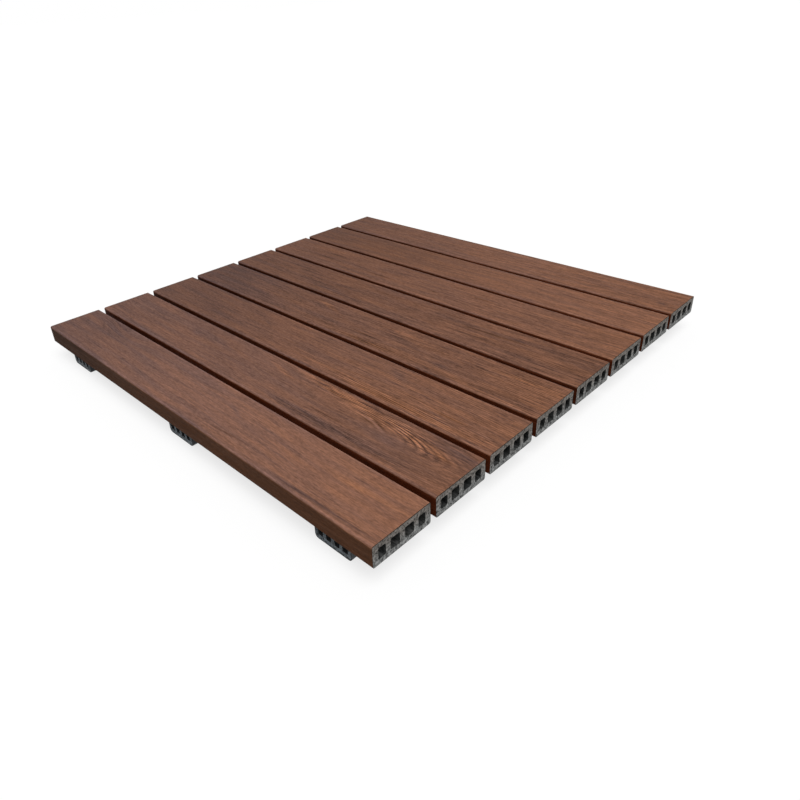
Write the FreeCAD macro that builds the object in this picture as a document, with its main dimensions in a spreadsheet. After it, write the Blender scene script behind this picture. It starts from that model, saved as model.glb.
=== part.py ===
"""A square deck tile: eight hollow boards laid with gaps on three hollow battens.

Units are millimetres. X runs along the boards, Y across them and Z up. The
origin lies under the middle of the tile, on the ground that the battens stand
on. Boards and battens are extruded profiles with four chambers each. Screws
driven from below, through the battens, hold the boards.
"""
import FreeCAD, Part

import math
import os

import Sketcher

Vector = FreeCAD.Vector

doc = FreeCAD.newDocument("deck_tile")
sheet = doc.addObject("Spreadsheet::Sheet", "Sizes")

# The sizes that can be set by themselves, in millimetres or as a count
DRIVING_SIZES = (
    ("board_count", 8, "boards side by side"),
    ("board_length", 600, "length of a board, along X"),
    ("board_width", 69, "width of a board, along Y"),
    ("board_thickness", 23, "height of a board's section"),
    ("board_gap", 7, "open gap between two boards"),
    ("board_top_radius", 2, "rounding of a board's two upper edges"),
    ("board_bottom_radius", 2, "rounding of a board's two lower edges"),
    ("board_side_wall", 6.5, "wall at a board's sides"),
    ("board_web", 5.5, "web between an outer and an inner chamber"),
    ("board_centre_web", 6, "web in the middle of a board"),
    ("board_top_wall", 6, "wall above a board's chambers"),
    ("board_bottom_wall", 5.5, "wall under a board's chambers"),
    ("board_chamber_step", 2, "how much narrower the outer chambers are"),
    ("board_chamber_radius", 1.5, "rounding inside a board's chambers"),
    ("batten_count", 3, "battens under the boards"),
    ("batten_width", 46, "width of a batten, along X"),
    ("batten_height", 23, "height of a batten"),
    ("batten_inset", 34, "from the boards' ends in to the outer battens"),
    ("batten_end_recess", 8.5, "from the outer boards' faces in to the batten ends"),
    ("batten_radius", 4, "rounding of a batten's four long edges"),
    ("batten_side_wall", 4.5, "wall at a batten's sides"),
    ("batten_web", 4, "webs between a batten's chambers"),
    ("batten_top_wall", 5.5, "wall above a batten's chambers"),
    ("batten_bottom_wall", 5.5, "wall under a batten's chambers"),
    ("batten_chamber_radius", 1, "rounding inside a batten's chambers"),
    ("screw_core", 2.9, "diameter of a screw's core"),
    ("screw_thread", 4, "diameter over a screw's thread"),
    ("screw_head", 8, "diameter of a screw's head"),
    ("screw_head_height", 2.4, "height of the head's cone"),
    ("screw_tip", 4, "length of a screw's point"),
    ("screw_tip_flat", 0.5, "diameter of the blunt end of the point"),
    ("screw_sink", 0.5, "depth of a head below the batten's underside"),
    ("screw_bite", 12.5, "how far a screw goes up into a board"),
    ("screw_clearance", 0.1, "space around a screw's head and core"),
    ("screw_bore_play", 0.5, "how much wider than the thread the batten's bore is"),
    ("pilot_overrun", 1, "space in the board above a screw's point"),
    ("recess_span", 4.2, "length of each slot of a head's cross"),
    ("recess_slot", 1.1, "width of each slot of a head's cross"),
    ("recess_depth", 1.8, "depth of a head's cross"),
)

# The sizes that follow from them
DERIVED_SIZES = (
    ("board_pitch", "board_width + board_gap", "from one board to the next"),
    ("tile_width", "board_count * board_pitch - board_gap", "over all boards"),
    (
        "board_inner_chamber",
        "(board_width - 2 * board_side_wall - 2 * board_web - board_centre_web"
        " + 2 * board_chamber_step) / 4",
        "width of the two inner chambers",
    ),
    (
        "board_outer_chamber",
        "board_inner_chamber - board_chamber_step",
        "width of the two outer chambers",
    ),
    (
        "batten_pitch",
        "(board_length - 2 * batten_inset - batten_width) / (batten_count - 1)",
        "from one batten to the next",
    ),
    ("batten_length", "tile_width - 2 * batten_end_recess", "length of a batten"),
    (
        "batten_chamber",
        "(batten_width - 2 * batten_side_wall - 3 * batten_web) / 4",
        "width of a batten's chambers",
    ),
    (
        "screw_shift_x",
        "(batten_web + batten_chamber) / 2",
        "from a batten's middle to the screw, which passes an inner chamber",
    ),
    (
        "screw_shift_y",
        "(board_centre_web + board_web) / 2 + board_inner_chamber",
        "from a board's middle to the screw, which bites into a web",
    ),
    (
        "screw_length",
        "batten_height - screw_sink + screw_bite",
        "length of a screw with its head",
    ),
    ("pilot_bore", "screw_core + 2 * screw_clearance", "bore in a board"),
    ("pilot_depth", "screw_bite + pilot_overrun", "depth of that bore"),
    ("batten_bore", "screw_thread + screw_bore_play", "bore in a batten"),
    (
        "countersink_bore",
        "screw_head + 2 * screw_clearance",
        "bore in a batten for a screw's head",
    ),
    (
        "countersink_top",
        "screw_sink + screw_head_height * (countersink_bore - batten_bore)"
        " / (screw_head - screw_core)",
        "height at which the countersink meets the bore",
    ),
)


def fill_sheet():
    """Write every size into the sheet, each under its own alias."""
    row = 0
    for alias, number, note in DRIVING_SIZES:
        row += 1
        sheet.set("A%d" % row, alias)
        sheet.set("B%d" % row, str(number))
        sheet.set("C%d" % row, note)
        sheet.setAlias("B%d" % row, alias)
    doc.recompute()
    for alias, formula, note in DERIVED_SIZES:
        row += 1
        sheet.set("A%d" % row, alias)
        sheet.set("B%d" % row, "=" + formula)
        sheet.set("C%d" % row, note)
        sheet.setAlias("B%d" % row, alias)
        doc.recompute()


def size(alias):
    """Return one size from the sheet as a plain number."""
    return float(sheet.get(alias))


def origin_part(body, role):
    """Return the plane or axis of a body's own origin that has this role."""
    for feature in body.Origin.OriginFeatures:
        if feature.Role == role:
            return feature
    raise ValueError("no %s in %s" % (role, body.Label))


def new_body(label):
    """Start a body that carries the sub-part's name."""
    body = doc.addObject("PartDesign::Body", label)
    body.Label = label
    return body


def new_sketch(body, name, plane):
    """Start a sketch on one of the planes of a body's own origin."""
    sketch = body.newObject("Sketcher::SketchObject", name)
    sketch.AttachmentSupport = [(origin_part(body, plane), "")]
    sketch.MapMode = "FlatFace"
    return sketch


def dimension(sketch, name, expression, *constraint):
    """Add a dimension to a sketch and bind it to sizes of the sheet."""
    index = sketch.addConstraint(Sketcher.Constraint(*constraint))
    sketch.renameConstraint(index, name)
    sketch.setExpression("Constraints." + name, expression)


# The places of a rounded rectangle's straight sides and corners in its list of eight edges
BOTTOM, CORNER_A, RIGHT, CORNER_B, TOP, CORNER_C, LEFT, CORNER_D = range(8)
# The numbers by which a sketch knows an edge's points
START, END, CENTRE = range(1, 4)
# A sketch's level axis is its edge -1, which starts at the origin
ORIGIN = (-1, START)
H_AXIS = ORIGIN[0]
FULL_TURN = 360


def rounded_rectangle(sketch, left, bottom, right, top, low_radius, high_radius):
    """Draw a rectangle with rounded corners and return the number of its first edge.

    Its lower two corners have one radius and its upper two another. The edges
    run on from each other, against the clock, from the bottom side.
    """
    def corner(x, y, radius, turns):
        circle = Part.Circle(Vector(x, y, 0), Vector(0, 0, 1), radius)
        start = turns * math.pi / 2
        return Part.ArcOfCircle(circle, start, start + math.pi / 2)

    def side(x_start, y_start, x_end, y_end):
        return Part.LineSegment(Vector(x_start, y_start, 0), Vector(x_end, y_end, 0))

    edges = [
        side(left + low_radius, bottom, right - low_radius, bottom),
        corner(right - low_radius, bottom + low_radius, low_radius, -1),
        side(right, bottom + low_radius, right, top - high_radius),
        corner(right - high_radius, top - high_radius, high_radius, 0),
        side(right - high_radius, top, left + high_radius, top),
        corner(left + high_radius, top - high_radius, high_radius, 1),
        side(left, top - high_radius, left, bottom + low_radius),
        corner(left + low_radius, bottom + low_radius, low_radius, 2),
    ]
    first = sketch.addGeometry(edges, False)[0]
    constraints = []
    for edge in range(len(edges)):
        following = (edge + 1) % len(edges)
        joint = ("Tangent", first + edge, END, first + following, START)
        constraints.append(Sketcher.Constraint(*joint))
    for edge in (BOTTOM, TOP):
        constraints.append(Sketcher.Constraint("Horizontal", first + edge))
    for edge in (RIGHT, LEFT):
        constraints.append(Sketcher.Constraint("Vertical", first + edge))
    for one, other in ((CORNER_A, CORNER_D), (CORNER_B, CORNER_C)):
        constraints.append(Sketcher.Constraint("Equal", first + one, first + other))
    sketch.addConstraint(constraints)
    return first


def outline(body, plane, width, height, low_radius, high_radius):
    """Draw a profile's outer edge, standing on the middle of the sketch's level axis."""
    sketch = new_sketch(body, "Outline", plane)
    half = size(width) / 2
    shell = rounded_rectangle(
        sketch, -half, 0, half, size(height), size(low_radius), size(high_radius)
    )
    sketch.addConstraint(Sketcher.Constraint("PointOnObject", shell + BOTTOM, START, H_AXIS))
    dimension(
        sketch, "left_half", "Sizes.%s / 2" % width,
        "DistanceX", shell + LEFT, START, *ORIGIN, half,
    )
    dimension(
        sketch, "right_half", "Sizes.%s / 2" % width,
        "DistanceX", *ORIGIN, shell + RIGHT, START, half,
    )
    dimension(
        sketch, "height", "Sizes." + height,
        "DistanceY", shell + BOTTOM, START, shell + TOP, START, size(height),
    )
    dimension(
        sketch, "low_radius", "Sizes." + low_radius,
        "Radius", shell + CORNER_A, size(low_radius),
    )
    dimension(
        sketch, "high_radius", "Sizes." + high_radius,
        "Radius", shell + CORNER_B, size(high_radius),
    )
    return sketch


def half_the_chambers(body, plane, height, spans, floor_wall, roof_wall, chamber_radius):
    """Draw the chambers on one side of a profile's middle.

    spans lists, from the middle outwards, each wall with its chamber, as an
    expression of the sheet and the same in figures.
    """
    sketch = new_sketch(body, "Chambers", plane)
    radius = size(chamber_radius)
    low, high = size(floor_wall), size(height) - size(roof_wall)
    beside = ORIGIN
    x = 0.0
    for place_name, (wall, chamber) in zip(("inner", "outer"), spans):
        wall_expression, wall_figure = wall
        chamber_expression, chamber_figure = chamber
        left = x + wall_figure
        x = left + chamber_figure
        hole = rounded_rectangle(sketch, left, low, x, high, radius, radius)
        dimension(
            sketch, place_name + "_wall", wall_expression,
            "DistanceX", *beside, hole + LEFT, START, wall_figure,
        )
        dimension(
            sketch, place_name + "_chamber", chamber_expression,
            "DistanceX", hole + LEFT, START, hole + RIGHT, START, chamber_figure,
        )
        dimension(
            sketch, place_name + "_floor", "Sizes." + floor_wall,
            "DistanceY", *ORIGIN, hole + BOTTOM, START, low,
        )
        dimension(
            sketch, place_name + "_roof", "Sizes.%s - Sizes.%s" % (height, roof_wall),
            "DistanceY", *ORIGIN, hole + TOP, START, high,
        )
        dimension(
            sketch, place_name + "_low_round", "Sizes." + chamber_radius,
            "Radius", hole + CORNER_A, radius,
        )
        dimension(
            sketch, place_name + "_high_round", "Sizes." + chamber_radius,
            "Radius", hole + CORNER_B, radius,
        )
        beside = (hole + RIGHT, START)
    return sketch


def extrude(body, sketch, length, against_normal):
    """Pad an outline from its plane over a length of the sheet."""
    pad = body.newObject("PartDesign::Pad", "Extrusion")
    pad.Profile = sketch
    pad.Reversed = against_normal
    pad.setExpression("Length", "Sizes." + length)
    sketch.Visibility = False
    return pad


def hollow_out(body, sketch, length, against_normal, middle):
    """Cut the chambers along the whole profile, on both sides of its middle plane."""
    pocket = body.newObject("PartDesign::Pocket", "HalfTheChambers")
    pocket.Profile = sketch
    pocket.Reversed = not against_normal
    pocket.setExpression("Length", "Sizes." + length)
    sketch.Visibility = False
    mirrored = body.newObject("PartDesign::Mirrored", "AllTheChambers")
    mirrored.Originals = [pocket]
    mirrored.MirrorPlane = (origin_part(body, middle), [""])
    body.Tip = mirrored
    return mirrored


def repeat_along(body, features, axis, span, count):
    """Repeat cuts along an axis, the last copy a span away from the first."""
    pattern = body.newObject("PartDesign::LinearPattern", "Row")
    pattern.Originals = features
    pattern.Direction = (origin_part(body, axis), [""])
    pattern.setExpression("Length", span)
    pattern.setExpression("Occurrences", count)
    body.Tip = pattern
    return pattern


def place(part, x, y, z):
    """Bind a sub-part's place to sizes of the sheet."""
    part.setExpression("Placement.Base.x", x)
    part.setExpression("Placement.Base.y", y)
    part.setExpression("Placement.Base.z", z)


# The screws of one crossing sit diagonally, on either side of its middle
DIAGONAL = (-1, 1)


def make_board(number):
    """Build one deck board, an extruded profile with pilot bores in its underside."""
    body = new_body("board_%d" % number)
    shell = outline(
        body, "YZ_Plane",
        "board_width", "board_thickness", "board_bottom_radius", "board_top_radius",
    )
    extrude(body, shell, "board_length", False)
    chambers = half_the_chambers(
        body, "YZ_Plane", "board_thickness",
        (
            (
                ("Sizes.board_centre_web / 2", size("board_centre_web") / 2),
                ("Sizes.board_inner_chamber", size("board_inner_chamber")),
            ),
            (
                ("Sizes.board_web", size("board_web")),
                ("Sizes.board_outer_chamber", size("board_outer_chamber")),
            ),
        ),
        "board_bottom_wall", "board_top_wall", "board_chamber_radius",
    )
    hollow_out(body, chambers, "board_length", False, "XZ_Plane")
    pilot_bores(body)
    place(
        body,
        "-Sizes.board_length / 2",
        "(Sizes.board_width - Sizes.tile_width) / 2 + %d * Sizes.board_pitch" % (number - 1),
        "Sizes.batten_height",
    )
    return body


def pilot_bores(body):
    """Cut the blind bores into a board's webs, two over each batten."""
    sketch = new_sketch(body, "PilotCircles", "XY_Plane")
    radius, shift = size("pilot_bore") / 2, size("screw_shift_y")
    for side, name in zip(DIAGONAL, ("front", "back")):
        x = size("batten_inset") + size("batten_width") / 2 + side * size("screw_shift_x")
        circle = Part.Circle(Vector(x, side * shift, 0), Vector(0, 0, 1), radius)
        ring = sketch.addGeometry(circle, False)
        across = (*ORIGIN, ring, CENTRE) if side > 0 else (ring, CENTRE, *ORIGIN)
        dimension(
            sketch, name + "_x",
            "Sizes.batten_inset + Sizes.batten_width / 2 + %d * Sizes.screw_shift_x" % side,
            "DistanceX", *ORIGIN, ring, CENTRE, x,
        )
        dimension(sketch, name + "_y", "Sizes.screw_shift_y", "DistanceY", *across, shift)
        dimension(sketch, name + "_radius", "Sizes.pilot_bore / 2", "Radius", ring, radius)
    bores = body.newObject("PartDesign::Pocket", "PilotBores")
    bores.Profile = sketch
    bores.Reversed = True
    bores.setExpression("Length", "Sizes.pilot_depth")
    sketch.Visibility = False
    repeat_along(
        body, [bores], "X_Axis",
        "(Sizes.batten_count - 1) * Sizes.batten_pitch", "Sizes.batten_count",
    )


def countersunk_bore(body, side):
    """Cut one bore up through a batten, with a countersink for a screw's head."""
    sketch = new_sketch(body, "BoreProfile", "XZ_Plane")
    sketch.setExpression("AttachmentOffset.Base.x", "%d * Sizes.screw_shift_x" % side)
    sketch.setExpression(
        "AttachmentOffset.Base.z",
        "Sizes.batten_end_recess - Sizes.board_width / 2 - %d * Sizes.screw_shift_y" % side,
    )
    head, bore = size("countersink_bore") / 2, size("batten_bore") / 2
    sink, cone, top = size("screw_sink"), size("countersink_top"), size("batten_height")
    corners = ((0, 0), (head, 0), (head, sink), (bore, cone), (bore, top), (0, top))
    lines = []
    for number, (x, y) in enumerate(corners):
        x_next, y_next = corners[(number + 1) % len(corners)]
        lines.append(Part.LineSegment(Vector(x, y, 0), Vector(x_next, y_next, 0)))
    sketch.addGeometry(lines, False)
    floor_line, head_line, cone_line, bore_line, top_line, axis_line = range(len(lines))
    for line in range(len(lines)):
        following = (line + 1) % len(lines)
        sketch.addConstraint(Sketcher.Constraint("Coincident", line, END, following, START))
    for line in (floor_line, top_line):
        sketch.addConstraint(Sketcher.Constraint("Horizontal", line))
    for line in (head_line, bore_line, axis_line):
        sketch.addConstraint(Sketcher.Constraint("Vertical", line))
    sketch.addConstraint(Sketcher.Constraint("Coincident", floor_line, START, *ORIGIN))
    dimension(
        sketch, "head_radius", "Sizes.countersink_bore / 2",
        "DistanceX", *ORIGIN, head_line, START, head,
    )
    dimension(
        sketch, "bore_radius", "Sizes.batten_bore / 2",
        "DistanceX", *ORIGIN, bore_line, START, bore,
    )
    dimension(
        sketch, "sink", "Sizes.screw_sink",
        "DistanceY", *ORIGIN, head_line, END, sink,
    )
    dimension(
        sketch, "cone_top", "Sizes.countersink_top",
        "DistanceY", *ORIGIN, bore_line, START, cone,
    )
    dimension(
        sketch, "bore_top", "Sizes.batten_height",
        "DistanceY", *ORIGIN, top_line, START, top,
    )
    groove = body.newObject("PartDesign::Groove", "CountersunkBore")
    groove.Profile = sketch
    groove.ReferenceAxis = (sketch, ["V_Axis"])
    groove.Angle = FULL_TURN
    sketch.Visibility = False
    return groove


def make_batten(number):
    """Build one batten, an extruded profile with countersunk bores under each board."""
    body = new_body("batten_%d" % number)
    shell = outline(
        body, "XZ_Plane", "batten_width", "batten_height", "batten_radius", "batten_radius"
    )
    extrude(body, shell, "batten_length", True)
    chamber = ("Sizes.batten_chamber", size("batten_chamber"))
    chambers = half_the_chambers(
        body, "XZ_Plane", "batten_height",
        (
            (("Sizes.batten_web / 2", size("batten_web") / 2), chamber),
            (("Sizes.batten_web", size("batten_web")), chamber),
        ),
        "batten_bottom_wall", "batten_top_wall", "batten_chamber_radius",
    )
    hollow_out(body, chambers, "batten_length", True, "YZ_Plane")
    bores = [countersunk_bore(body, side) for side in DIAGONAL]
    repeat_along(
        body, bores, "Y_Axis",
        "(Sizes.board_count - 1) * Sizes.board_pitch", "Sizes.board_count",
    )
    place(
        body,
        "(Sizes.batten_width - Sizes.board_length) / 2 + Sizes.batten_inset"
        " + %d * Sizes.batten_pitch" % (number - 1),
        "-Sizes.batten_length / 2",
        "0",
    )
    return body


def bound_primitive(kind, name, sizes):
    """Add a primitive whose properties are bound to sizes of the sheet."""
    primitive = doc.addObject("Part::" + kind, name)
    for prop, expression in sizes.items():
        primitive.setExpression(prop, expression)
    return primitive


def make_screw():
    """Build one countersunk screw, point up, with the face of its head at the height 0."""
    head = bound_primitive("Cone", "ScrewHead", {
        "Radius1": "Sizes.screw_head / 2",
        "Radius2": "Sizes.screw_core / 2",
        "Height": "Sizes.screw_head_height",
    })
    core = bound_primitive("Cylinder", "ScrewCore", {
        "Radius": "Sizes.screw_core / 2",
        "Height": "Sizes.screw_length - Sizes.screw_head_height - Sizes.screw_tip",
        "Placement.Base.z": "Sizes.screw_head_height",
    })
    point = bound_primitive("Cone", "ScrewPoint", {
        "Radius1": "Sizes.screw_core / 2",
        "Radius2": "Sizes.screw_tip_flat / 2",
        "Height": "Sizes.screw_tip",
        "Placement.Base.z": "Sizes.screw_length - Sizes.screw_tip",
    })
    turned = doc.addObject("Part::MultiFuse", "TurnedScrew")
    turned.Shapes = [head, core, point]
    turned.Refine = True
    slots = []
    for name, along, across in (("SlotA", "Length", "Width"), ("SlotB", "Width", "Length")):
        offsets = {"Length": "Placement.Base.x", "Width": "Placement.Base.y"}
        slots.append(bound_primitive("Box", name, {
            along: "Sizes.recess_span",
            across: "Sizes.recess_slot",
            "Height": "Sizes.recess_depth",
            offsets[along]: "-Sizes.recess_span / 2",
            offsets[across]: "-Sizes.recess_slot / 2",
        }))
    cross = doc.addObject("Part::MultiFuse", "CrossRecess")
    cross.Shapes = slots
    screw = doc.addObject("Part::Cut", "Screw")
    screw.Base = turned
    screw.Tool = cross
    return screw


def make_screws():
    """Set one screw at each end of the diagonal wherever a board crosses a batten."""
    pattern = make_screw()
    doc.recompute()
    copies = []
    first_x = -size("board_length") / 2 + size("batten_inset") + size("batten_width") / 2
    first_y = -size("tile_width") / 2 + size("board_width") / 2
    for batten in range(int(size("batten_count"))):
        for board in range(int(size("board_count"))):
            for side in DIAGONAL:
                x = first_x + batten * size("batten_pitch") + side * size("screw_shift_x")
                y = first_y + board * size("board_pitch") + side * size("screw_shift_y")
                copy = pattern.Shape.copy()
                copy.translate(Vector(x, y, size("screw_sink")))
                copies.append(copy)
    group = doc.addObject("Part::Feature", "fixing_screws")
    group.Label = "fixing_screws"
    group.Shape = Part.Compound(copies)
    group.Placement = FreeCAD.Placement()
    return group


def check_document(parts):
    """Stop if an object of the document failed or a sub-part has no sound shape."""
    for item in doc.Objects:
        if "Invalid" in item.State or "Error" in item.State:
            raise RuntimeError("%s did not compute: %s" % (item.Label, item.State))
    for part in parts:
        if part.Shape.isNull() or not part.Shape.isValid():
            raise RuntimeError("%s has no sound shape" % part.Label)


def main():
    """Build every sub-part, check it and write its file."""
    fill_sheet()
    parts = [make_board(number) for number in range(1, int(size("board_count")) + 1)]
    parts += [make_batten(number) for number in range(1, int(size("batten_count")) + 1)]
    parts.append(make_screws())
    doc.recompute()
    check_document(parts)
    os.makedirs("parts", exist_ok=True)
    for part in parts:
        part.Shape.exportStep("parts/%s.step" % part.Label)
        box = part.Shape.BoundBox
        print(
            "%-14s solids %2d  volume %9.1f mm3  x %.1f to %.1f  y %.1f to %.1f  z %.1f to %.1f"
            % (
                part.Label, len(part.Shape.Solids), part.Shape.Volume,
                box.XMin, box.XMax, box.YMin, box.YMax, box.ZMin, box.ZMax,
            )
        )


main()
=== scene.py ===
"""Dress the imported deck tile: eight embossed boards, three battens and their screws.

Sizes are in millimetres until a piece is finished, and then in metres, as in the
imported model. The boards run along X and lie side by side along Y on the battens.
"""

import logging
import math
from collections.abc import Iterable, Sequence
from dataclasses import dataclass
from enum import Enum, IntEnum

import bmesh
import bpy
from mathutils import Matrix, Vector, noise

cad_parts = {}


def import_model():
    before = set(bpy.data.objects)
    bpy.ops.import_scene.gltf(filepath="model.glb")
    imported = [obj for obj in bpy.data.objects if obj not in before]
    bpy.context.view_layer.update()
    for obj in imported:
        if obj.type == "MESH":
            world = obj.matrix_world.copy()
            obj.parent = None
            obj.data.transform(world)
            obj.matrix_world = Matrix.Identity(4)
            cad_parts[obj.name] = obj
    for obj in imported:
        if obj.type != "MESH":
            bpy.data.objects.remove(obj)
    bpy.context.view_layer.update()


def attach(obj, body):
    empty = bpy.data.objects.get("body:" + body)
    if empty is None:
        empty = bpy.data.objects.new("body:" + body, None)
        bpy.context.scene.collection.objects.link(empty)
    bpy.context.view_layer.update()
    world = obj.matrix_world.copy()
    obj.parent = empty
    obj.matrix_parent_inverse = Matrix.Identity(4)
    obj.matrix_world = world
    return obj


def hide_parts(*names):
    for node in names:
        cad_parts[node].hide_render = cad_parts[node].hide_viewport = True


log = logging.getLogger("deck_tile")

MM = 0.001
BODY = "root"
# How far apart two points may be and still count as being at the same place
CLOSE = 0.01
# How near each other points are merged
MERGE = 0.001
# How far a boring tool stands out of the body
OVERSHOOT = 1
# How far a fine streak of the grain spreads to each side
STREAK_SPREAD = 1.1
# The heights in metres between which the sawn ends change their colour
BOARD_LEVELS = (0.026, 0.042)
BATTEN_LEVELS = (0.004, 0.018)
# Cells per metre of the lines that the die draws along a batten
BATTEN_LINES = (1500, 40, 1500)
# The two sides of a middle line
SIDES = (-1, 1)
# Stands a flat grid across a bar, with its first side along Y and its second along Z
SECTION_PLANE = Matrix(((0, 0, 1, 0), (1, 0, 0, 0), (0, 1, 0, 0), (0, 0, 0, 1)))

BMesh = bmesh.types.BMesh
Socket = bpy.types.NodeSocket
Pair = tuple[float, float]
Colour = tuple[float, float, float]
Point = tuple[float, float, float]
# The two ends of a range, and what they are mapped to
Range = tuple[float, float, float, float]


class Part(IntEnum):
    """The finishes of a hollow bar, in the order of its material slots."""

    SKIN = 0
    CORE = 1
    CHAMBER = 2
    RIM = 3


class Slot(Enum):
    """The record's material slots."""

    CAPPING = "board_capping"
    COMPOSITE = "batten_composite"
    STEEL = "screw_steel"


# Shaping


def only(kind: type, items: Iterable[object]) -> list:
    """Return those items that are of one kind."""
    return [item for item in items if isinstance(item, kind)]


def spaced(count: int, pitch: float) -> list[float]:
    """Return places at equal distances, with zero in their middle."""
    return [(number - (count - 1) / 2) * pitch for number in range(count)]


@dataclass(frozen=True)
class Skin:
    """How thick a bar's skin is on its top, on its sides and on its bottom."""

    top: float
    side: float
    bottom: float


@dataclass(frozen=True)
class RoundedBox:
    """A rounded rectangle in a bar's section.

    Its middle, width and height are followed by the radii and the facets of its
    upper and its lower corners.
    """

    across: float
    up: float
    width: float
    height: float
    upper_radius: float
    lower_radius: float
    upper_facets: int
    lower_facets: int

    def inside(self, skin: Skin) -> "RoundedBox":
        """Return what a skin of this thickness leaves of the form."""
        return RoundedBox(
            self.across,
            self.up + (skin.bottom - skin.top) / 2,
            self.width - 2 * skin.side,
            self.height - skin.top - skin.bottom,
            self.upper_radius - (skin.top + skin.side) / 2,
            self.lower_radius - (skin.bottom + skin.side) / 2,
            self.upper_facets,
            self.lower_facets,
        )

    def loop(self, mesh: BMesh, x: float) -> list[bmesh.types.BMEdge]:
        """Draw the form as a closed loop of edges.

        Args:
            mesh: The mesh to draw in.
            x: Where the loop lies along the bar.

        Returns:
            The loop's edges.
        """
        earlier = set(mesh.edges)
        corners = bmesh.ops.create_grid(
            mesh, x_segments=1, y_segments=1, size=0.5, matrix=SECTION_PLANE
        )["verts"]
        bmesh.ops.scale(mesh, vec=(1, self.width, self.height), verts=corners)
        bmesh.ops.translate(mesh, vec=(x, self.across, self.up), verts=corners)
        upper = [corner for corner in corners if corner.co.z > self.up]
        lower = [corner for corner in corners if corner.co.z < self.up]
        for pair, radius, facets in (
            (upper, self.upper_radius, self.upper_facets),
            (lower, self.lower_radius, self.lower_facets),
        ):
            bmesh.ops.bevel(
                mesh,
                geom=pair,
                offset=radius,
                offset_type="OFFSET",
                segments=facets,
                profile=0.5,
                affect="VERTICES",
                clamp_overlap=False,
                material=-1,
            )
        edges = [edge for edge in mesh.edges if edge not in earlier]
        faces = list({face for edge in edges for face in edge.link_faces})
        bmesh.ops.delete(mesh, geom=faces, context="FACES_ONLY")
        return edges


@dataclass(frozen=True)
class HollowBar:
    """A hollow bar along X: its outer form, its chambers, its length and its skin."""

    outer: RoundedBox
    chambers: tuple[RoundedBox, ...]
    length: float
    skin: Skin

    def solid(self) -> BMesh:
        """Build the bar, with a rim of skin and a core at its sawn ends.

        Returns:
            The mesh, whose faces carry the numbers of their parts.
        """
        mesh = bmesh.new()
        start = -self.length / 2
        rim = self.outer.loop(mesh, start)
        core = self.outer.inside(self.skin).loop(mesh, start)
        holes = [edge for form in self.chambers for edge in form.loop(mesh, start)]
        ring = bmesh.ops.bridge_loops(mesh, edges=rim + core)["faces"]
        filled = bmesh.ops.triangle_fill(mesh, edges=core + holes, use_beauty=True)["geom"]
        middle = only(bmesh.types.BMFace, filled)
        for face in middle:
            face.material_index = Part.CORE
        for face in ring:
            face.material_index = Part.RIM
        end = ring + middle
        grown = bmesh.ops.extrude_face_region(mesh, geom=end, use_keep_orig=True)["geom"]
        moved = only(bmesh.types.BMVert, grown)
        bmesh.ops.translate(mesh, vec=(self.length, 0, 0), verts=moved)
        for edges, part in ((holes, Part.CHAMBER), (rim, Part.SKIN)):
            for edge in edges:
                for face in edge.link_faces:
                    if face not in end:
                        face.material_index = part
        bmesh.ops.recalc_face_normals(mesh, faces=mesh.faces)
        return mesh


def turned(profile: Sequence[Pair], facets: int) -> BMesh:
    """Spin a profile once around the upright axis.

    Args:
        profile: Radius and height of each point, from the axis back to the axis.
        facets: How many facets the turned form has.

    Returns:
        The closed mesh.
    """
    mesh = bmesh.new()
    points = [mesh.verts.new((radius, 0, height)) for radius, height in profile]
    edges = [mesh.edges.new(pair) for pair in zip(points, points[1:])]
    bmesh.ops.spin(
        mesh,
        geom=points + edges,
        cent=(0, 0, 0),
        axis=(0, 0, 1),
        angle=math.tau,
        steps=facets,
        use_merge=True,
    )
    bmesh.ops.remove_doubles(mesh, verts=mesh.verts, dist=MERGE)
    bmesh.ops.recalc_face_normals(mesh, faces=mesh.faces)
    return mesh


def repeated(mesh: BMesh, places: Iterable[Pair]) -> BMesh:
    """Set a copy of a form at each place on the ground plan.

    Args:
        mesh: The form, on the upright axis. It is moved to the first place.
        places: X and Y of each copy.

    Returns:
        The same mesh, with its copies.
    """
    first, *others = places
    pattern = mesh.verts[:] + mesh.edges[:] + mesh.faces[:]
    for x, y in others:
        copy = bmesh.ops.duplicate(mesh, geom=pattern)["geom"]
        bmesh.ops.translate(mesh, vec=(x, y, 0), verts=only(bmesh.types.BMVert, copy))
    bmesh.ops.translate(mesh, vec=(*first, 0), verts=only(bmesh.types.BMVert, pattern))
    return mesh


def temporary(mesh: BMesh, name: str) -> bpy.types.Object:
    """Put a mesh into an object of its own, still in millimetres.

    Args:
        mesh: The mesh, which is used up.
        name: The object's name.

    Returns:
        The new object.
    """
    data = bpy.data.meshes.new(name)
    mesh.to_mesh(data)
    mesh.free()
    piece = bpy.data.objects.new(name, data)
    bpy.context.scene.collection.objects.link(piece)
    return piece


def bored(body: BMesh, tool: BMesh, part: int) -> BMesh:
    """Cut one mesh out of another.

    Args:
        body: The mesh that is cut.
        tool: The mesh that is taken away.
        part: The number of the finish inside the cut.

    Returns:
        What is left.
    """
    for face in tool.faces:
        face.material_index = part
    kept = temporary(body, "bored_body")
    cutter = temporary(tool, "boring_tool")
    for piece in (kept, cutter):
        for _ in Part:
            piece.data.materials.append(None)
    cut = kept.modifiers.new("Bores", "BOOLEAN")
    cut.operation = "DIFFERENCE"
    cut.solver = "EXACT"
    cut.object = cutter
    result = bpy.data.meshes.new_from_object(
        kept.evaluated_get(bpy.context.evaluated_depsgraph_get())
    )
    mesh = bmesh.new()
    mesh.from_mesh(result)
    for data in (kept.data, cutter.data, result):
        bpy.data.meshes.remove(data)
    return mesh


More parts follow.
